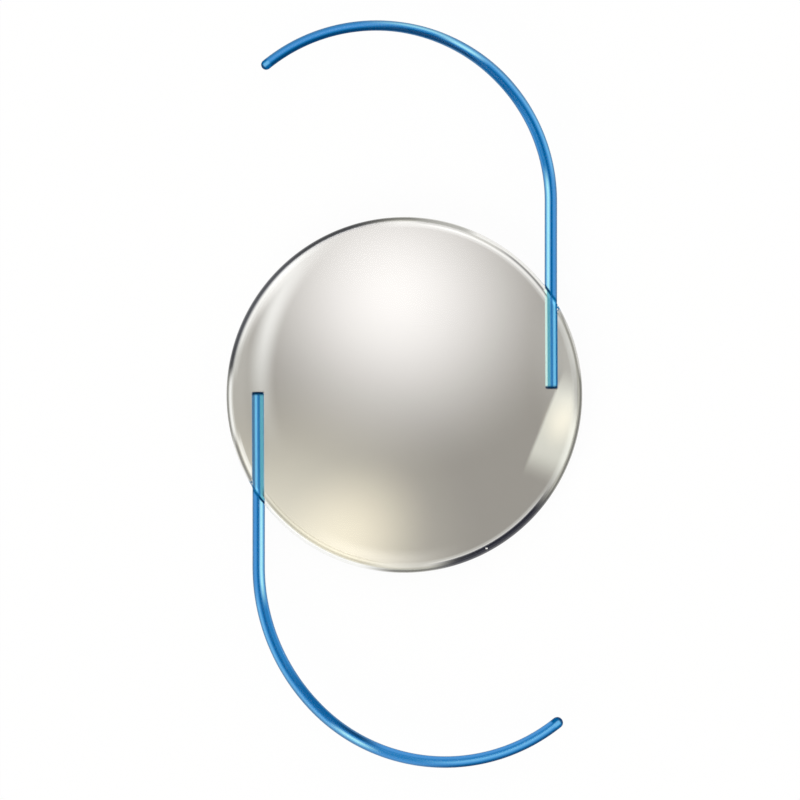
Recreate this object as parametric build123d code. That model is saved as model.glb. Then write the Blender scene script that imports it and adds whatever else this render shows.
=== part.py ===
# Three-piece intraocular lens: a biconvex optic with two C-loop haptics seated in its rim.
# Millimetres. The optical axis is +Z with the front (anterior) face up, and the lens lies
# on the crown of its back face, which touches the origin. The loops reach along +Y and -Y.

import os
from math import sqrt

from build123d import *

# Optic
OPTIC_DIAMETER = 6.0
FRONT_CURVATURE = 13.4
BACK_CURVATURE = 13.4
EDGE_THICKNESS = 0.40
FRONT_EDGE_ROUND = 0.085
BACK_EDGE_BREAK = 0.015

# Haptics: round monofilament with an easy shoulder, thinning into the loop, with a domed tip
HAPTIC_DIAMETER = 0.21
SHOULDER_SWEEP = 45
TAPER_SWEEP = 40  # right after the shoulder
BUTT_BREAK = 0.012
ANGULATION = 5  # degrees, loops rising towards the front
BOND_LINE = 0.005  # adhesive film all round a stem in its socket

# Trailing haptic, which hooks over the top of the optic like a 7
TRAILING_INSET = 0.53  # stem axis inside the widest point of the rim
TRAILING_SEAT_DEPTH = 1.60  # stem buried in the optic
TRAILING_STRAIGHT = 1.565  # stem between the rim and the shoulder
TRAILING_SHOULDER_RADIUS = 2.995
TRAILING_LOOP_RADIUS = 2.925
TRAILING_SWEEP = 129.3  # shoulder and loop together
TRAILING_TIP_DIAMETER = 0.175

# Leading haptic, which runs under the optic like an L
LEADING_INSET = 0.543
LEADING_SEAT_DEPTH = 1.77
LEADING_STRAIGHT = 1.175
LEADING_SHOULDER_RADIUS = 3.425
LEADING_LOOP_RADIUS = 3.025
LEADING_SWEEP = 128.7
LEADING_TIP_DIAMETER = 0.195

rim_radius = OPTIC_DIAMETER / 2


def sag(curvature):
    # Height of a spherical face from its crown to the rim
    return curvature - sqrt(curvature**2 - rim_radius**2)


rim_bottom = sag(BACK_CURVATURE)
rim_top = rim_bottom + EDGE_THICKNESS
crown = rim_top + sag(FRONT_CURVATURE)


def stem_frame(inset):
    # Frame of one haptic: its origin is where the stem crosses the rim at half the edge
    # height, its +Y runs out along the stem, and its XY plane holds the whole loop
    x = rim_radius - inset
    y = sqrt(rim_radius**2 - x**2)
    return Location((x, y, (rim_bottom + rim_top) / 2), (ANGULATION, 0, 0))


def stem_rod(diameter, seat_depth, straight):
    # Straight rod along a stem, from the bottom of its seat to the start of the loop
    butt = Plane((0, -seat_depth, 0), x_dir=(1, 0, 0), z_dir=(0, 1, 0))
    return extrude(butt * Circle(diameter / 2), seat_depth + straight)


def lens_blank():
    # Half section turned about the optical axis: front edge rounded, back edge square
    back = RadiusArc((0, 0), (rim_radius, rim_bottom), -BACK_CURVATURE)
    edge = Line(back @ 1, (rim_radius, rim_top))
    front = RadiusArc(edge @ 1, (0, crown), -FRONT_CURVATURE)
    axis = Line(front @ 1, back @ 0)
    section = make_face(back + edge + front + axis)
    back_corner, front_corner = section.vertices().group_by(Axis.X)[-1].sort_by(Axis.Y)
    section = fillet(front_corner, FRONT_EDGE_ROUND)
    back_corner = section.vertices().sort_by_distance(back_corner)[0]
    section = fillet(back_corner, BACK_EDGE_BREAK)
    return revolve(Plane.XZ * section, Axis.Z)


def section_at(path, position, diameter):
    # Round section square to a path, at its start (0) or end (1)
    return Plane(path @ position, z_dir=path % position) * Circle(diameter / 2)


def haptic(seat_depth, straight, shoulder_radius, loop_radius, whole_sweep, tip_diameter):
    # Blunt stem, shoulder, taper and thin loop on one tangent path, closed by a domed tip
    stem = stem_rod(HAPTIC_DIAMETER, seat_depth, straight)
    stem = chamfer(stem.edges().sort_by(Axis.Y)[0], BUTT_BREAK)

    shoulder_path = JernArc((0, straight), (0, 1), shoulder_radius, SHOULDER_SWEEP)
    shoulder = sweep(section_at(shoulder_path, 0, HAPTIC_DIAMETER), shoulder_path)

    taper_path = JernArc(shoulder_path @ 1, shoulder_path % 1, loop_radius, TAPER_SWEEP)
    thick = section_at(taper_path, 0, HAPTIC_DIAMETER)
    thin = section_at(taper_path, 1, tip_diameter)
    taper = sweep([thick, thin], taper_path, multisection=True)

    loop_sweep = whole_sweep - SHOULDER_SWEEP - TAPER_SWEEP
    loop_path = JernArc(taper_path @ 1, taper_path % 1, loop_radius, loop_sweep)
    loop = sweep(section_at(loop_path, 0, tip_diameter), loop_path)

    dome = Sphere(tip_diameter / 2, arc_size1=0, align=(Align.CENTER, Align.CENTER, Align.MIN))
    dome = Plane(loop_path @ 1, z_dir=loop_path % 1) * dome
    return stem + shoulder + taper + loop + dome


trailing_frame = stem_frame(TRAILING_INSET)
leading_frame = Rot(0, 0, 180) * stem_frame(LEADING_INSET)

socket_diameter = HAPTIC_DIAMETER + 2 * BOND_LINE
optic = lens_blank()
optic -= trailing_frame * stem_rod(socket_diameter, TRAILING_SEAT_DEPTH, TRAILING_STRAIGHT)
optic -= leading_frame * stem_rod(socket_diameter, LEADING_SEAT_DEPTH, LEADING_STRAIGHT)

trailing_haptic = trailing_frame * haptic(
    TRAILING_SEAT_DEPTH, TRAILING_STRAIGHT, TRAILING_SHOULDER_RADIUS, TRAILING_LOOP_RADIUS,
    TRAILING_SWEEP, TRAILING_TIP_DIAMETER,
)
leading_haptic = leading_frame * haptic(
    LEADING_SEAT_DEPTH, LEADING_STRAIGHT, LEADING_SHOULDER_RADIUS, LEADING_LOOP_RADIUS,
    LEADING_SWEEP, LEADING_TIP_DIAMETER,
)

os.makedirs("parts", exist_ok=True)
export_step(optic, "parts/optic.step")
export_step(trailing_haptic, "parts/trailing_haptic.step")
export_step(leading_haptic, "parts/leading_haptic.step")
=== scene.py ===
from math import asin, ceil, cos, pi, radians, sin, sqrt, tau

import bpy
from mathutils import Matrix, Vector


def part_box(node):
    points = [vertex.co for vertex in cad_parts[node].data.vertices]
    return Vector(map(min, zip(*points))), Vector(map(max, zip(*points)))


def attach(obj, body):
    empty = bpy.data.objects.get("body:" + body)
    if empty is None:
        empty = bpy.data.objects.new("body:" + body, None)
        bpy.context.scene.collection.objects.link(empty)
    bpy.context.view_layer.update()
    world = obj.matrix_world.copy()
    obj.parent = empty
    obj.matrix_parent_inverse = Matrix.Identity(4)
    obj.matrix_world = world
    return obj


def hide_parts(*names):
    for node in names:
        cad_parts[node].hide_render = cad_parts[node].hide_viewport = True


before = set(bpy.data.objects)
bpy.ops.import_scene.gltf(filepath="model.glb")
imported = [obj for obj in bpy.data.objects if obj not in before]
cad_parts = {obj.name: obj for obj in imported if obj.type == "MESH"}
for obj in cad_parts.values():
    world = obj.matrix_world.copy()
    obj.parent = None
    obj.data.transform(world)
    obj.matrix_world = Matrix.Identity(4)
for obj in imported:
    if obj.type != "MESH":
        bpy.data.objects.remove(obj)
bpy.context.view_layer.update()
mm = 0.001  # sizes below are millimetres, the scene is metres
bpy.context.scene.view_settings.view_transform = "Standard"
print("frame loaded:", sorted(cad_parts))


def addNode(tree, kind, inputs=None, **settings):
    node = tree.nodes.new(kind)
    for key, value in settings.items():
        setattr(node, key, value)
    for key, value in (inputs or {}).items():
        if isinstance(value, bpy.types.NodeSocket):
            tree.links.new(value, node.inputs[key])
        else:
            node.inputs[key].default_value = value
    return node


def doMath(tree, operation, *values, clamp=False):
    node = addNode(tree, "ShaderNodeMath", dict(enumerate(values)), operation=operation)
    node.use_clamp = clamp
    return node.outputs[0]


def easeStep(tree, value, low, high):
    # 0 below low, 1 above high, smooth between them
    node = addNode(tree, "ShaderNodeMapRange",
                   {"Value": value, "From Min": low, "From Max": high},
                   interpolation_type="SMOOTHSTEP")
    return node.outputs["Result"]


def colourRamp(tree, value, stops, blend="EASE"):
    node = addNode(tree, "ShaderNodeValToRGB", {"Fac": value})
    node.color_ramp.interpolation = blend
    while len(node.color_ramp.elements) < len(stops):
        node.color_ramp.elements.new(1.0)
    for element, (place, colour) in zip(node.color_ramp.elements, stops):
        element.position = place
        element.color = (*colour, 1)
    return node.outputs["Color"]


def mixColour(tree, factor, first, second, blend="MIX"):
    node = addNode(tree, "ShaderNodeMix", data_type="RGBA", blend_type=blend)
    node.clamp_factor = True
    for socket, value in ((node.inputs[0], factor), (node.inputs[6], first), (node.inputs[7], second)):
        if isinstance(value, bpy.types.NodeSocket):
            tree.links.new(value, socket)
        elif isinstance(value, tuple):
            socket.default_value = (*value, 1)
        else:
            socket.default_value = value
    return node.outputs[2]


def newMaterial(name):
    material = bpy.data.materials.new(name)
    material.use_nodes = True
    material.node_tree.nodes.clear()
    return material, material.node_tree


def makePiece(name, verts, faces, normals=None):
    mesh = bpy.data.meshes.new(name)
    mesh.from_pydata(verts, [], faces)
    mesh.validate()
    mesh.shade_smooth()
    if normals:
        mesh.normals_split_custom_set_from_vertices(normals)
    piece = bpy.data.objects.new(name, mesh)
    bpy.context.scene.collection.objects.link(piece)
    return piece


cameraSetup = {
    "focal": 1200,  # very long lens, an almost flat view along the optical axis
    "sensor": 36,
    "pixelsPerMm": 59.33,
    "centre": (-0.074, -0.086),  # mm, what the middle of the picture looks at
    "focusHeight": 0.85,
    "picture": 800,  # pixels, both ways
    "clip": (0.01, 10),
}


def placeCamera(setup):
    camera = bpy.data.objects.new("camera", bpy.data.cameras.new("camera"))
    bpy.context.scene.collection.objects.link(camera)
    camera.data.lens = setup["focal"]
    camera.data.sensor_width = setup["sensor"]
    shown = setup["picture"] / setup["pixelsPerMm"]
    away = shown * setup["focal"] / setup["sensor"] + setup["focusHeight"]
    camera.location = (setup["centre"][0] * mm, setup["centre"][1] * mm, away * mm)
    camera.data.clip_start, camera.data.clip_end = setup["clip"]
    bpy.context.scene.camera = camera
    print("camera", round(away, 1), "mm above the lens")


placeCamera(cameraSetup)


opticShape = {
    "frontCurve": 13.4,
    "backCurve": 13.4,
    "frontRound": 0.085,
    "backBreak": 0.015,
    "around": 360,
    "ringsOnFace": 44,
    "stepsOnRound": 16,
    "stepsOnBreak": 5,
    "hairline": 1e-6,  # points nearer than this are one
}


def opticProfile(shape, rim, crown):
    # points and outward normals of the half section, front crown to back crown
    points, normals = [], []

    def arc(centreX, centreZ, radius, fromTilt, toTilt, steps):
        for step in range(steps + 1):
            tilt = fromTilt + (toTilt - fromTilt) * step / steps
            normals.append((sin(tilt), cos(tilt)))
            points.append((centreX + radius * sin(tilt), centreZ + radius * cos(tilt)))

    front, back = shape["frontCurve"], shape["backCurve"]
    edge, lip = shape["frontRound"], shape["backBreak"]
    frontTilt = asin((rim - edge) / (front - edge))
    backTilt = asin((rim - lip) / (back - lip))
    edgeZ = crown - front + (front - edge) * cos(frontTilt)
    lipZ = back - (back - lip) * cos(backTilt)
    arc(0, crown - front, front, 0, frontTilt, shape["ringsOnFace"])
    arc(rim - edge, edgeZ, edge, frontTilt, pi / 2, shape["stepsOnRound"])
    arc(rim - lip, lipZ, lip, pi / 2, pi - backTilt, shape["stepsOnBreak"])
    arc(0, back, back, pi - backTilt, pi, shape["ringsOnFace"])
    kept = [0]
    for step in range(1, len(points)):  # arcs share their end points
        last = points[kept[-1]]
        if abs(points[step][0] - last[0]) + abs(points[step][1] - last[1]) > shape["hairline"]:
            kept.append(step)
    return [points[k] for k in kept], [normals[k] for k in kept]


def buildOptic(shape):
    low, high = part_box("optic")
    rim = max(high.x, high.y) / mm
    crown = high.z / mm
    points, slopes = opticProfile(shape, rim, crown)
    around = shape["around"]
    verts, normals, faces = [], [], []
    for (radius, z), (out, up) in zip(points, slopes):
        count = around if radius > shape["hairline"] else 1
        for step in range(count):
            turn = tau * step / around
            verts.append((radius * cos(turn) * mm, radius * sin(turn) * mm, z * mm))
            normals.append((out * cos(turn), out * sin(turn), up))
    rings = len(points) - 2
    for step in range(around):
        after = (step + 1) % around
        faces.append((0, 1 + step, 1 + after))
        for ring in range(rings - 1):
            top, bottom = 1 + ring * around, 1 + (ring + 1) * around
            faces.append((top + step, bottom + step, bottom + after, top + after))
        last = 1 + (rings - 1) * around
        faces.append((len(verts) - 1, last + after, last + step))
    piece = makePiece("optic_lens", verts, faces, normals)
    print("optic:", len(faces), "faces, rim", round(rim, 4), "crown", round(crown, 4))
    return piece, rim


optic, opticRim = buildOptic(opticShape)


hapticShape = {
    "diameter": 0.21,
    "shoulderSweep": 45,
    "taperSweep": 40,
    "buttBreak": 0.012,
    "angulation": 5,
    "seatHeight": 0.54,  # half way up the rim
    "around": 48,
    "stemStep": 0.06,  # mm between rings
    "loopStep": 1.0,  # degrees between rings
    "domeRings": 12,
    "domeRun": 0.03,
}
trailingShape = {"inset": 0.53, "seat": 1.60, "straight": 1.565, "shoulder": 2.995, "loop": 2.925,
                 "sweep": 129.3, "tip": 0.175, "turned": 0}
leadingShape = {"inset": 0.543, "seat": 1.77, "straight": 1.175, "shoulder": 3.425, "loop": 3.025,
                "sweep": 128.7, "tip": 0.195, "turned": 180}


def hapticStations(rod, path):
    # rings along the rod: middle, turn of the loop, section radius, run
    stations = []
    thick, thin = rod["diameter"] / 2, path["tip"] / 2
    chop = rod["buttBreak"]
    start, finish = -path["seat"], path["straight"]
    shoulder, loop = path["shoulder"], path["loop"]

    def stemRun(y):  # -1 at the butt, 0 at the rim, 1 where the shoulder starts
        return y / (path["straight"] if y > 0 else path["seat"])

    stations.append(((0, start), 0, thick - chop, -1))
    steps = ceil((finish - start - chop) / rod["stemStep"])
    for step in range(steps + 1):
        y = start + chop + (finish - start - chop) * step / steps
        stations.append(((0, y), 0, thick, stemRun(y)))
    steps = ceil(path["sweep"] / rod["loopStep"])
    for step in range(1, steps + 1):
        swept = path["sweep"] * step / steps
        turn = radians(swept)
        early = min(turn, radians(rod["shoulderSweep"]))
        thinning = min(1, max(0, swept - rod["shoulderSweep"]) / rod["taperSweep"])
        middle = (shoulder * (cos(early) - 1) + loop * (cos(turn) - cos(early)),
                  finish + shoulder * sin(early) + loop * (sin(turn) - sin(early)))
        stations.append((middle, turn, thick + (thin - thick) * thinning, 1 + step / steps))
    (x, y), turn, radius, run = stations[-1]
    for step in range(1, rod["domeRings"]):
        swell = pi / 2 * step / rod["domeRings"]
        reach = radius * sin(swell)
        middle = (x - sin(turn) * reach, y + cos(turn) * reach)
        stations.append((middle, turn, radius * cos(swell), run + rod["domeRun"] * sin(swell)))
    tip = (x - sin(turn) * radius, y + cos(turn) * radius)
    return stations, tip, run + rod["domeRun"]


def buildHaptic(name, rod, path):
    across = opticRim - path["inset"]
    place = (Matrix.Rotation(radians(path["turned"]), 4, "Z")
             @ Matrix.Translation((across, sqrt(opticRim**2 - across**2), rod["seatHeight"]))
             @ Matrix.Rotation(radians(rod["angulation"]), 4, "X"))
    stations, tip, whole = hapticStations(rod, path)
    around = rod["around"]
    verts, faces, runs = [], [], []

    def addVert(x, y, z, run):
        verts.append(tuple(place @ Vector((x, y, z)) * mm))
        runs.append(run)

    for (x, y), turn, radius, run in stations:
        for step in range(around):
            swing = tau * step / around  # 0 on the outer side of the loop, a quarter turn on top
            side = radius * cos(swing)
            addVert(x + side * cos(turn), y + side * sin(turn), radius * sin(swing), run)
    butt, dome = len(verts), len(verts) + 1
    addVert(0, -path["seat"], 0, -1)
    addVert(*tip, 0, whole)
    last = (len(stations) - 1) * around
    for step in range(around):
        after = (step + 1) % around
        faces.append((butt, step, after))
        for ring in range(0, last, around):
            faces.append((ring + step, ring + around + step, ring + around + after, ring + after))
        faces.append((dome, last + after, last + step))

    piece = makePiece(name, verts, faces)
    wrap = piece.data.uv_layers.new(name="wrap")  # u: run along the rod, v: round it
    for polygon in piece.data.polygons:
        steps = [v % around for v in polygon.vertices if v < butt]
        seam = 0 in steps and around - 1 in steps
        for loop in polygon.loop_indices:
            vert = piece.data.loops[loop].vertex_index
            step = vert % around if vert < butt else min(steps) + 0.5
            if seam and step < around / 2:
                step += around
            wrap.data[loop].uv = (runs[vert], step / around)
    print(name, len(faces), "faces")
    return piece


trailing = buildHaptic("trailing_rod", hapticShape, trailingShape)
leading = buildHaptic("leading_rod", hapticShape, leadingShape)


def tone(red, green, blue):
    # a colour as read off a screen, 0 to 255, made linear
    parts = [part / 255 for part in (red, green, blue)]
    return tuple(p / 12.92 if p <= 0.04045 else ((p + 0.055) / 1.055) ** 2.4 for p in parts)


clear = (1, 1, 1)
frontFinish = {
    "ior": 1.2,
    "polish": 2.4,  # how strongly the polished face mirrors
    "edgePolish": 1.5,
    "ripple": 0.12,  # on the rounded edge, left by tumbling
    "rippleHeight": 0.004,
    "ripplesPerMm": 3.0,
    "edgeFrom": 2.80,  # mm from the axis, where the painted light and shade of the edge start
    # how much light the edge lets by, from edgeFrom at 0 to the rim at 1: painted shade and highlight that
    # stand in for what the rim mirrors and bends, a dark line all round and darker and paler arcs
    "plain": ((0.55, clear), (0.62, (0.80, 0.80, 0.76)), (0.72, (0.70, 0.70, 0.66)),
              (0.82, (0.35, 0.35, 0.33)), (0.90, (0.30, 0.30, 0.28)), (0.96, (0.6, 0.6, 0.58)),
              (1.0, (0.8, 0.8, 0.78))),
    "slate": ((0.50, clear), (0.58, (0.70, 0.71, 0.73)), (0.66, (0.25, 0.26, 0.28)),
              (0.74, (0.09, 0.095, 0.11)), (0.92, (0.10, 0.105, 0.12)), (1.0, (0.14, 0.145, 0.16))),
    "navy": ((0.38, clear), (0.44, (0.28, 0.28, 0.31)), (0.50, (0.04, 0.042, 0.06)),
             (0.62, (0.02, 0.021, 0.035)), (0.68, (0.045, 0.048, 0.065)), (0.75, (0.02, 0.021, 0.035)),
             (0.86, (0.11, 0.112, 0.13)), (0.93, (0.06, 0.062, 0.075)), (1.0, (0.10, 0.10, 0.11))),
    "water": ((0.46, clear), (0.54, (0.65, 0.65, 0.62)), (0.60, (0.40, 0.40, 0.36)),
              (0.67, (0.65, 0.65, 0.62)), (0.74, clear), (1.0, clear)),
    "brim": ((0.16, clear), (0.27, (0.60, 0.58, 0.52)), (0.36, (0.52, 0.50, 0.45)),
             (0.45, (0.36, 0.35, 0.31)), (0.52, (0.13, 0.13, 0.12)), (0.60, (0.13, 0.13, 0.12)),
             (0.69, (0.65, 0.65, 0.62)), (0.75, clear), (1.0, clear)),
    "crisp": ((0.70, clear), (0.79, (0.75, 0.75, 0.73)), (0.86, (0.30, 0.30, 0.28)),
              (0.93, (0.32, 0.32, 0.30)), (1.0, (0.7, 0.7, 0.68))),
    "veil": ((0.46, clear), (0.54, (0.62, 0.62, 0.60)), (0.62, (0.50, 0.50, 0.48)),
             (0.90, (0.52, 0.52, 0.50)), (1.0, (0.8, 0.8, 0.78))),
    "late": ((0.58, clear), (0.66, (0.70, 0.70, 0.66)), (0.72, (0.48, 0.48, 0.45)),
             (0.80, (0.52, 0.52, 0.49)), (0.87, clear), (1.0, clear)),
    "ink": ((0.50, clear), (0.58, (0.60, 0.60, 0.60)), (0.655, (0.15, 0.15, 0.15)),
            (0.73, (0.50, 0.50, 0.49)), (0.79, clear), (1.0, clear)),
    # where each painted shade and highlight arc lies round the rim: middle, full and fading half width in
    # degrees
    "arcs": (("slate", 138, 28, 48), ("navy", -57, 14, 27), ("water", 54, 10, 25), ("ink", 42, 7, 18),
             ("veil", 77, 5, 12), ("late", 16, 5, 12), ("late", -163, 8, 16), ("crisp", 184, 6, 14),
             ("brim", -122, 16, 30)),
    # clear spots where the stems pass under the painted edge shade, and a painted glint: middle and half size
    # in mm
    "spots": (((2.49, 1.75), (0.085, 0.35)), ((-2.475, -1.75), (0.085, 0.35)),
              ((1.385, -2.588), (0.018, 0.012))),
    "spotSoft": (0.35, 0.2),
    "spotTint": clear,
}
smoke = (0.398, 0.378, 0.339)
backFinish = {
    "ior": 1.2,
    "ringFrom": 2.70,
    # how much light the back lets by, from ringFrom at 0 to the rim at 1: the even smoky tint, and near the
    # rim painted shade and highlight arcs that stand in for what the rim mirrors and bends
    "faint": ((0.0, smoke), (0.33, smoke), (0.50, (0.53, 0.52, 0.48)), (0.60, (0.59, 0.58, 0.54)),
              (0.74, (0.62, 0.61, 0.57)), (0.86, (0.85, 0.84, 0.81)), (1.0, (0.9, 0.89, 0.87))),
    "strong": ((0.0, smoke), (0.33, smoke), (0.47, (0.60, 0.59, 0.55)), (0.56, (0.88, 0.87, 0.83)),
               (1.0, (0.92, 0.91, 0.88))),
    "none": ((0.0, smoke), (0.68, smoke), (0.80, (0.95, 0.95, 0.92)), (1.0, (0.97, 0.97, 0.95))),
    "inner": ((0.0, smoke), (0.40, smoke), (0.50, (0.80, 0.79, 0.75)), (0.64, (0.90, 0.89, 0.85)),
              (0.72, (0.48, 0.47, 0.44)), (1.0, (0.58, 0.57, 0.54))),
    "open": ((0.0, smoke), (0.44, smoke), (0.52, (0.95, 0.95, 0.92)), (1.0, (0.97, 0.97, 0.95))),
    "crisp": ((0.0, smoke), (0.54, smoke), (0.64, (0.62, 0.61, 0.57)), (0.70, (0.93, 0.93, 0.90)),
              (1.0, (0.95, 0.95, 0.92))),
    # where each painted shade and highlight arc lies round the rim: middle, full and fading half width in
    # degrees
    "arcs": (("strong", 55, 14, 34), ("strong", 146, 8, 22), ("strong", -60, 14, 26),
             ("open", -122, 16, 30), ("none", 108, 6, 18), ("inner", -163, 8, 16), ("crisp", 184, 6, 14)),
    # paler seats under the stems: painted light, the back lets more light by there so that the seated stems
    # look brighter
    "spots": (((2.461, 1.025), (0.10, 0.895)), ((-2.448, -0.945), (0.10, 0.965))),
    "spotSoft": (0.35, 0.05),
    "spotTint": (0.66, 0.66, 0.64),
}


def spotOnOptic(tree, nearest):
    # distance from the optical axis, 0 at nearest to 1 at the rim, the heading and the flat position
    spot = addNode(tree, "ShaderNodeTexCoord").outputs["Object"]
    parts = addNode(tree, "ShaderNodeSeparateXYZ", {0: spot}).outputs
    flat = addNode(tree, "ShaderNodeCombineXYZ", {0: parts[0], 1: parts[1]}).outputs[0]
    away = addNode(tree, "ShaderNodeVectorMath", {0: flat}, operation="LENGTH").outputs["Value"]
    share = addNode(tree, "ShaderNodeMapRange", {
        "Value": away, "From Min": nearest * mm, "From Max": opticRim * mm})
    heading = addNode(tree, "ShaderNodeVectorMath", {0: flat}, operation="NORMALIZE").outputs[0]
    return share.outputs["Result"], heading, flat


def panelMask(tree, place, middle, half, turn, soft):
    # 1 inside a turned rectangle, easing to 0 across its edges
    own = addNode(tree, "ShaderNodeMapping", {
        "Vector": place, "Location": (*middle, 0), "Rotation": (0, 0, radians(turn)),
        "Scale": (*half, 1)}, vector_type="TEXTURE").outputs[0]
    parts = addNode(tree, "ShaderNodeSeparateXYZ", {0: own}).outputs
    inside = [easeStep(tree, doMath(tree, "ABSOLUTE", parts[axis]), 1 + soft[axis] / 2, 1 - soft[axis] / 2)
              for axis in (0, 1)]
    return doMath(tree, "MULTIPLY", *inside)


def arcMask(tree, heading, middle, full, fade):
    aim = (cos(radians(middle)), sin(radians(middle)), 0)
    along = addNode(tree, "ShaderNodeVectorMath", {0: heading, 1: aim}, operation="DOT_PRODUCT")
    return easeStep(tree, along.outputs["Value"], cos(radians(fade)), cos(radians(full)))


def roundTheRim(tree, finish, nearest, ground):
    # painted light and shade round the rim: one radial ramp all round, with others laid over it in arcs, and
    # small spots on top
    share, heading, flat = spotOnOptic(tree, nearest)
    colour = colourRamp(tree, share, finish[ground])
    for name, *arc in finish["arcs"]:
        ramp = colourRamp(tree, share, finish[name])
        colour = mixColour(tree, arcMask(tree, heading, *arc), colour, ramp)
    for middle, half in finish["spots"]:
        middle, half = [v * mm for v in middle], [v * mm for v in half]
        inside = panelMask(tree, flat, middle, half, 0, finish["spotSoft"])
        colour = mixColour(tree, inside, colour, finish["spotTint"])
    return colour


def crossing(tree, colour):
    # light crosses a face once on its way down, and the shader takes the root of its colour for that
    return mixColour(tree, 1.0, colour, colour, "MULTIPLY")


def finishShader(tree, values):
    shader = addNode(tree, "ShaderNodeBsdfPrincipled", values)
    output = addNode(tree, "ShaderNodeOutputMaterial")
    tree.links.new(shader.outputs[0], output.inputs["Surface"])


def frontMaterial(name, finish, polish, ripple):
    material, tree = newMaterial(name)
    edge = roundTheRim(tree, finish, finish["edgeFrom"], "plain")
    values = {
        "Base Color": crossing(tree, edge), "Roughness": 0.0, "IOR": finish["ior"],
        "Transmission Weight": 1.0, "Coat Weight": 1.0, "Coat Roughness": 0.0, "Coat IOR": polish}
    if ripple:
        spot = addNode(tree, "ShaderNodeTexCoord").outputs["Object"]
        marks = addNode(tree, "ShaderNodeTexNoise", {
            "Vector": spot, "Scale": finish["ripplesPerMm"] / mm, "Detail": 3.0}).outputs[0]
        waves = addNode(tree, "ShaderNodeBump", {
            "Height": marks, "Strength": ripple, "Distance": finish["rippleHeight"] * mm}).outputs[0]
        values.update({"Normal": waves, "Coat Normal": waves})
    finishShader(tree, values)
    return material


def backMaterial(finish):
    material, tree = newMaterial("smoky_back_painted_rim")
    tint = roundTheRim(tree, finish, finish["ringFrom"], "faint")
    finishShader(tree, {
        "Base Color": crossing(tree, tint), "Roughness": 0.0,
        "IOR": finish["ior"], "Transmission Weight": 1.0})
    return material


# where a stem goes in, the bond fills the rounded edge, so nothing bends or mirrors light there
windowFinish = {"ior": 1.02, "half": 0.112, "tint": (0.99, 0.99, 0.98)}


def windowMaterial(finish):
    material, tree = newMaterial("stem_window")
    finishShader(tree, {
        "Base Color": (*finish["tint"], 1), "Roughness": 0.0, "IOR": finish["ior"],
        "Transmission Weight": 1.0})
    return material


def overStem(spot):
    for path in (trailingShape, leadingShape):
        side = cos(radians(path["turned"]))
        aside = spot.x / mm * side - (opticRim - path["inset"])
        if abs(aside) < windowFinish["half"] and spot.y * side > 0:
            return True
    return False


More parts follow.
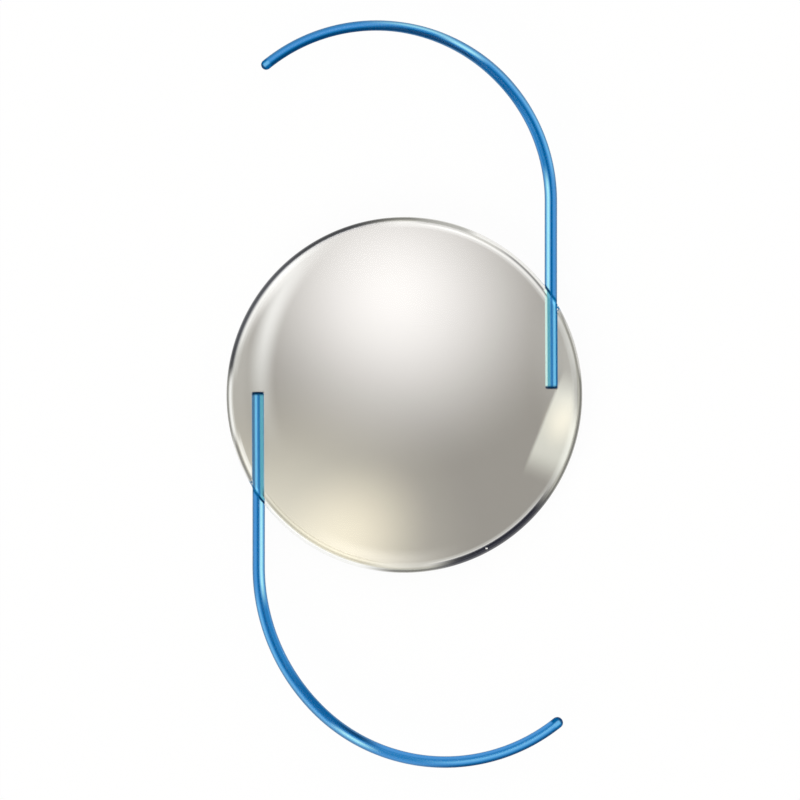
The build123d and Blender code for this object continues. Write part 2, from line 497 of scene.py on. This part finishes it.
hapticFinish = {
    "clear": 0.93,  # share of the light that goes through the filament
    "ior": 1.06,
    "skin": 0.12,
    "skinRough": 0.1,
    "skinIor": 1.5,
    "rough": (0.06, 0.14),
    # faint lines from drawing the filament: how many along and round it, strength and height
    "linesAlong": 5,
    "linesRound": 30,
    "lineStrength": 0.3,
    "lineHeight": 0.002,
    "noiseSpan": (0.3, 0.7),
    "slant": 0.096,  # how far the rim runs along the stem while crossing it
    "underLens": (1.0, 0.93, 0.85),  # the lens takes some of the blue from the seated stem
    "seatPaintedGlow": 0.3,  # painted glow: the seated stretch gives off light of its own, though the filament is no lamp
    # tones of the bands: ice, pale, brook and sky are painted highlight tones, navy a painted shade tone
    "navy": tone(0, 66, 114),
    "edge": tone(82, 131, 174),
    "deep": tone(0, 98, 160),
    "mid": tone(40, 128, 192),
    "azure": tone(78, 152, 217),
    "sky": tone(110, 186, 236),
    "brook": tone(122, 205, 255),
    "ice": tone(176, 242, 255),
    "teal": tone(102, 180, 207),
    "pale": tone(210, 247, 248),
    # painted highlight and shade bands round the section, 0 on the outer side of the loop, 0.5 on top, 1 on
    # the inner side; they stand for light mirrored and bent by the round filament over its own blue
    "butt": ((0.0, "navy"), (1.0, "navy")),
    "upperSeat": ((0.0, "deep"), (0.22, "deep"), (0.30, "brook"), (0.385, "brook"), (0.43, "azure"),
                  (0.47, "mid"), (0.49, "mid"), (0.53, "azure"), (0.58, "teal"), (0.68, "teal"),
                  (0.745, "pale"), (1.0, "pale")),
    "lowerSeat": ((0.0, "edge"), (0.30, "edge"), (0.37, "brook"), (0.43, "brook"), (0.48, "azure"),
                  (0.53, "mid"), (0.56, "mid"), (0.63, "teal"), (0.78, "teal"), (0.86, "edge"),
                  (1.0, "edge")),
    # painted shade: a dark line where the rim crosses the stem
    "entry": ((0.0, "deep"), (0.48, "deep"), (0.58, "navy"), (1.0, "navy")),
    # the pale band on the inner side of the stem is a painted highlight
    "stem": ((0.0, "edge"), (0.20, "edge"), (0.28, "azure"), (0.37, "azure"), (0.41, "mid"),
             (0.455, "deep"), (0.495, "deep"), (0.55, "sky"), (0.60, "ice"), (0.665, "ice"),
             (0.73, "sky"), (0.80, "edge"), (1.0, "edge")),
    "spring": ((0.0, "edge"), (0.18, "edge"), (0.25, "sky"), (0.31, "sky"), (0.37, "azure"),
               (0.41, "mid"), (0.455, "deep"), (0.51, "deep"), (0.57, "mid"), (0.68, "mid"),
               (0.75, "azure"), (0.83, "edge"), (1.0, "edge")),
    "loop": ((0.0, "edge"), (0.20, "edge"), (0.33, "sky"), (0.39, "azure"), (0.45, "mid"),
             (0.50, "deep"), (0.72, "deep"), (0.82, "edge"), (1.0, "edge")),
    # a painted glint over the outer side of the loop, with painted shade on the inner side
    "bright": ((0.0, "edge"), (0.22, "edge"), (0.32, "sky"), (0.38, "ice"), (0.44, "ice"),
               (0.50, "azure"), (0.56, "deep"), (0.62, "navy"), (0.70, "navy"), (0.80, "edge"),
               (1.0, "edge")),
    "upperBend": ((0.0, "edge"), (0.20, "edge"), (0.30, "ice"), (0.37, "sky"), (0.44, "mid"),
                  (0.50, "deep"), (0.56, "navy"), (0.72, "navy"), (0.84, "edge"), (1.0, "edge")),
    "lowerBend": ((0.0, "edge"), (0.17, "edge"), (0.27, "azure"), (0.34, "azure"), (0.40, "mid"),
                  (0.58, "mid"), (0.68, "azure"), (0.78, "azure"), (0.86, "edge"), (1.0, "edge")),
    "upperEnd": ((0.0, "edge"), (0.20, "edge"), (0.30, "mid"), (0.36, "azure"), (0.48, "azure"),
                 (0.54, "mid"), (0.59, "deep"), (0.65, "navy"), (1.0, "navy")),
    "lowerEnd": ((0.0, "navy"), (0.24, "navy"), (0.32, "mid"), (0.39, "azure"), (0.44, "sky"),
                 (0.50, "sky"), (0.56, "mid"), (0.62, "mid"), (0.68, "azure"), (0.78, "azure"),
                 (0.86, "edge"), (1.0, "edge")),
    # a painted glint near the tip, then painted shade over the end
    "shine": ((0.0, "navy"), (0.27, "deep"), (0.40, "sky"), (0.50, "sky"), (0.62, "deep"), (1.0, "navy")),
    "tip": ((0.0, "navy"), (1.0, "navy")),
    # where each one gives way to the next along the run
    "order": (("butt", None), ("Seat", (-0.985, -0.965)), ("entry", (-0.035, -0.015)),
              ("stem", (0.012, 0.032)), ("spring", (1.03, 1.10)), ("loop", (1.20, 1.32)),
              ("bright", (1.38, 1.45)), ("Bend", (1.47, 1.55)), ("End", (1.60, 1.75)),
              ("shine", (1.987, 1.993)), ("tip", (2.008, 2.02))),
    "differing": ("Seat", "Bend", "End"),  # these differ between the upper and the lower loop: painted light and shade that falls differently on each
}


def drawnLines(tree, run, swing, finish):
    # roughness and bump of the filament
    along = doMath(tree, "MULTIPLY", run, finish["linesAlong"])
    across = doMath(tree, "MULTIPLY", swing, finish["linesRound"])
    place = addNode(tree, "ShaderNodeCombineXYZ", {0: along, 1: across}).outputs[0]
    drawn = addNode(tree, "ShaderNodeTexNoise", {"Vector": place, "Scale": 1.0, "Detail": 2.0}).outputs[0]
    low, high = finish["noiseSpan"]
    smooth, dull = finish["rough"]
    rough = addNode(tree, "ShaderNodeMapRange", {
        "Value": drawn, "From Min": low, "From Max": high, "To Min": smooth, "To Max": dull}).outputs[0]
    ridges = addNode(tree, "ShaderNodeBump", {
        "Height": drawn, "Strength": finish["lineStrength"], "Distance": finish["lineHeight"] * mm})
    return rough, ridges.outputs[0]


def hapticMaterial(name, finish, side):
    material, tree = newMaterial(name)
    wrap = addNode(tree, "ShaderNodeUVMap", uv_map="wrap").outputs[0]
    parts = addNode(tree, "ShaderNodeSeparateXYZ", {0: wrap}).outputs
    run = parts[0]
    swing = doMath(tree, "MULTIPLY", doMath(tree, "PINGPONG", parts[1], 0.5), 2.0)
    # the rim crosses the stem on a slant, so the run from the rim differs round the section
    aside = doMath(tree, "COSINE", doMath(tree, "MULTIPLY", swing, pi))
    fromRim = doMath(tree, "MULTIPLY_ADD", aside, finish["slant"], run)
    colour = glow = None
    for stretch, change in finish["order"]:
        own = side + stretch if stretch in finish["differing"] else stretch
        band = colourRamp(tree, swing, [(place, finish[shade]) for place, shade in finish[own]])
        if change is None:
            colour = band
            continue
        passed = easeStep(tree, fromRim if stretch in ("entry", "stem") else run, *change)
        if stretch == "Seat":
            band = mixColour(tree, 1.0, band, finish["underLens"], "MULTIPLY")
            # the seated stretch gets a painted glow in its own colour, though it is no lamp
            glow = mixColour(tree, passed, (0, 0, 0), band)
        elif stretch == "entry":
            glow = mixColour(tree, passed, glow, (0, 0, 0))
        colour = mixColour(tree, passed, colour, band)
    rough, ridges = drawnLines(tree, run, swing, finish)
    finishShader(tree, {
        "Base Color": colour, "Roughness": rough, "Normal": ridges, "IOR": finish["ior"],
        "Transmission Weight": finish["clear"], "Coat Weight": finish["skin"],
        "Coat Roughness": finish["skinRough"], "Coat IOR": finish["skinIor"], "Coat Normal": ridges,
        "Emission Color": glow, "Emission Strength": finish["seatPaintedGlow"]})
    return material


opticZones = {"faceLean": 13, "backFrom": 120}  # degrees that a face leans from straight up


def zoneOf(polygon):
    # 0 polished front, 1 rounded edge and wall, 2 smoky back, 3 window at a stem
    up = polygon.normal.z
    if up > cos(radians(opticZones["faceLean"])):
        return 0
    if up <= cos(radians(opticZones["backFrom"])):
        return 2
    return 3 if overStem(polygon.center) else 1


for material in (frontMaterial("polished_front_painted_rim", frontFinish, frontFinish["polish"], 0),
                 frontMaterial("rounded_edge_painted_light", frontFinish, frontFinish["edgePolish"], frontFinish["ripple"]),
                 backMaterial(backFinish), windowMaterial(windowFinish)):
    optic.data.materials.append(material)
for polygon in optic.data.polygons:
    polygon.material_index = zoneOf(polygon)
# the two filaments are lit and shaded copies of one blue: their Seat, Bend and End bands carry different
# painted light and shade
trailing.data.materials.append(hapticMaterial("blue_filament_upper_painted_light", hapticFinish, "upper"))
leading.data.materials.append(hapticMaterial("blue_filament_lower_painted_light", hapticFinish, "lower"))
print("finishes done")

for piece, node, slot in ((optic, "optic", "optic"),
                          (trailing, "trailing_haptic", "haptic"),
                          (leading, "leading_haptic", "haptic")):
    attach(piece, "root")
    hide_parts(node)


floorSetup = {"size": 6000, "white": 0.93, "ownLight": 0.95, "below": 0.002}


def layFloor(setup):
    half, z = setup["size"] / 2 * mm, -setup["below"] * mm
    corners = [(-half, -half, z), (half, -half, z), (half, half, z), (-half, half, z)]
    floor = makePiece("floor", corners, [(0, 1, 2, 3)])
    material, tree = newMaterial("white_floor")
    path = addNode(tree, "ShaderNodeLightPath").outputs
    seen = doMath(tree, "MAXIMUM", path["Is Camera Ray"], path["Is Glossy Ray"])
    seen = doMath(tree, "MAXIMUM", seen, path["Is Transmission Ray"])
    paper = addNode(tree, "ShaderNodeBsdfDiffuse", {"Color": (*[setup["white"]] * 3, 1)})
    glow = addNode(tree, "ShaderNodeEmission", {"Color": (1, 1, 1, 1), "Strength": 1.0})
    mix = addNode(tree, "ShaderNodeMixShader", {
        0: doMath(tree, "MULTIPLY", seen, setup["ownLight"]), 1: paper.outputs[0], 2: glow.outputs[0]})
    output = addNode(tree, "ShaderNodeOutputMaterial")
    tree.links.new(mix.outputs[0], output.inputs["Surface"])
    floor.data.materials.append(material)
    print("floor laid")


layFloor(floorSetup)


# Lamps stand where the front face of the optic mirrors them, in mm on that face from its middle
studio = {
    "mirror": 13.2,  # curve of the face, allowing for how far away the camera is
    # brightness of the dome from straight up at 0 to the horizon at 0.5
    "dome": ((0.0, (0.03, 0.03, 0.03)), (0.160, (0.03, 0.03, 0.03)), (0.195, (0.75, 0.75, 0.77)),
             (0.25, (0.62, 0.62, 0.64)), (0.33, (0.30, 0.30, 0.32)), (0.43, (0.12, 0.12, 0.13)),
             (1.0, (0.10, 0.10, 0.11))),
    "lamps": [
        # overhead softbox, and two warm ones low on the left
        {"shape": "disc", "at": (-0.16, 1.72), "half": (3.06, 3.26), "turn": 52,
         "light": (3.84, 3.77, 3.79)},
        {"shape": "disc", "at": (-0.88, -2.33), "half": (1.31, 1.55), "turn": -50,
         "light": (1.49, 1.30, 0.89)},
        {"shape": "disc", "at": (-2.63, -3.40), "half": (4.42, 3.68), "turn": 44.5,
         "light": (3.09, 2.93, 2.29)},
        # bent streak at the left, slanted window at the right
        {"shape": "arc", "at": (0.64, 0.29), "radius": 3.055, "wide": 0.258, "turn": 163, "reach": 45,
         "light": (1.95, 2.02, 2.00)},
        {"shape": "panel", "at": (2.68, -0.57), "half": (0.72, 0.355), "turn": 68.2, "soft": (0.8, 0.2),
         "light": (1.95, 2.02, 1.78)},
        {"shape": "disc", "at": (2.66, -0.43), "half": (0.40, 0.60), "turn": -20,
         "light": (1.35, 1.15, 0.8)},
        # soft light along the rim: right, left, upper left and bottom
        {"shape": "disc", "at": (2.95, 0.65), "half": (0.95, 1.75), "turn": 0,
         "light": (0.85, 0.88, 0.84)},
        {"shape": "disc", "at": (-2.80, 0.45), "half": (0.45, 1.5), "turn": 0,
         "light": (0.75, 0.76, 0.72)},
        {"shape": "arc", "at": (0, 0), "radius": 2.83, "wide": 0.10, "turn": 146, "reach": 22,
         "light": (1.5, 1.5, 1.48)},
        {"shape": "arc", "at": (0, 0), "radius": 2.78, "wide": 0.20, "turn": -98, "reach": 32,
         "light": (0.9, 0.88, 0.84)},
        # two large soft panels beside the lens, seen only in its edge, in the loops and from the side
        {"shape": "panel", "at": (3.10, 5.26), "half": (2.3, 3.4), "turn": 59.5, "soft": (0.3, 0.6),
         "light": (0.8, 0.81, 0.84)},
        {"shape": "panel", "at": (-3.10, -5.26), "half": (2.3, 3.4), "turn": 59.5, "soft": (0.3, 0.6),
         "light": (0.8, 0.81, 0.84)},
    ],
    # dark cards that keep mirrored light off the seated stems and a place at the right rim
    "cards": [
        {"shape": "panel", "at": (2.479, 0.93), "half": (0.10, 0.84), "turn": 0, "soft": (0.3, 0.04)},
        {"shape": "panel", "at": (-2.465, -0.86), "half": (0.10, 0.92), "turn": 0, "soft": (0.3, 0.04)},
        {"shape": "arc", "at": (0, 0), "radius": 2.92, "wide": 0.12, "turn": 1, "reach": 16},
    ],
}


def lampSpread(tree, face, lamp):
    # how much of a lamp shows at each place on the face, 0 to 1
    if lamp["shape"] == "panel":
        return panelMask(tree, face, lamp["at"], lamp["half"], lamp["turn"], lamp["soft"])
    own = addNode(tree, "ShaderNodeMapping", {
        "Vector": face, "Location": (*lamp["at"], 0), "Rotation": (0, 0, radians(lamp["turn"])),
        "Scale": (*lamp.get("half", (1, 1)), 1)}, vector_type="TEXTURE").outputs[0]
    away = addNode(tree, "ShaderNodeVectorMath", {0: own}, operation="LENGTH").outputs["Value"]
    if lamp["shape"] == "disc":
        return easeStep(tree, away, 1, 0)
    parts = addNode(tree, "ShaderNodeSeparateXYZ", {0: own}).outputs
    offBand = doMath(tree, "ABSOLUTE", doMath(tree, "SUBTRACT", away, lamp["radius"]))
    bearing = doMath(tree, "ABSOLUTE", doMath(tree, "ARCTAN2", parts[1], parts[0]))
    return doMath(tree, "MULTIPLY", easeStep(tree, offBand, lamp["wide"], 0),
                  easeStep(tree, bearing, radians(lamp["reach"]), 0))


def scaled(tree, colour, factor):
    node = addNode(tree, "ShaderNodeVectorMath", {0: colour}, operation="SCALE")
    tree.links.new(factor, node.inputs["Scale"])
    return node.outputs[0]


def lightStudio(setup):
    world = bpy.data.worlds.new("studio")
    bpy.context.scene.world = world
    world.use_nodes = True
    tree = world.node_tree
    tree.nodes.clear()
    sky = addNode(tree, "ShaderNodeTexCoord").outputs["Generated"]
    xyz = addNode(tree, "ShaderNodeSeparateXYZ", {0: sky}).outputs
    flat = addNode(tree, "ShaderNodeCombineXYZ", {0: xyz[0], 1: xyz[1]}).outputs[0]
    steep = doMath(tree, "SQRT", doMath(tree, "MULTIPLY", doMath(tree, "ADD", xyz[2], 1.0001), 2.0))
    face = scaled(tree, flat, doMath(tree, "DIVIDE", setup["mirror"], steep))

    tilt = doMath(tree, "ARCCOSINE", xyz[2])
    light = colourRamp(tree, doMath(tree, "DIVIDE", tilt, pi), setup["dome"])
    for lamp in setup["lamps"]:
        lit = scaled(tree, lamp["light"], lampSpread(tree, face, lamp))
        light = addNode(tree, "ShaderNodeVectorMath", {0: light, 1: lit}, operation="ADD").outputs[0]
    for card in setup["cards"]:
        light = scaled(tree, light, doMath(tree, "SUBTRACT", 1.0, lampSpread(tree, face, card)))
    path = addNode(tree, "ShaderNodeLightPath").outputs
    seen = doMath(tree, "MAXIMUM", path["Is Camera Ray"], path["Is Transmission Ray"])
    background = addNode(tree, "ShaderNodeBackground", {"Color": mixColour(tree, seen, light, (1, 1, 1))})
    output = addNode(tree, "ShaderNodeOutputWorld")
    tree.links.new(background.outputs[0], output.inputs["Surface"])
    print("studio lit by", len(setup["lamps"]), "lamps")


lightStudio(studio)
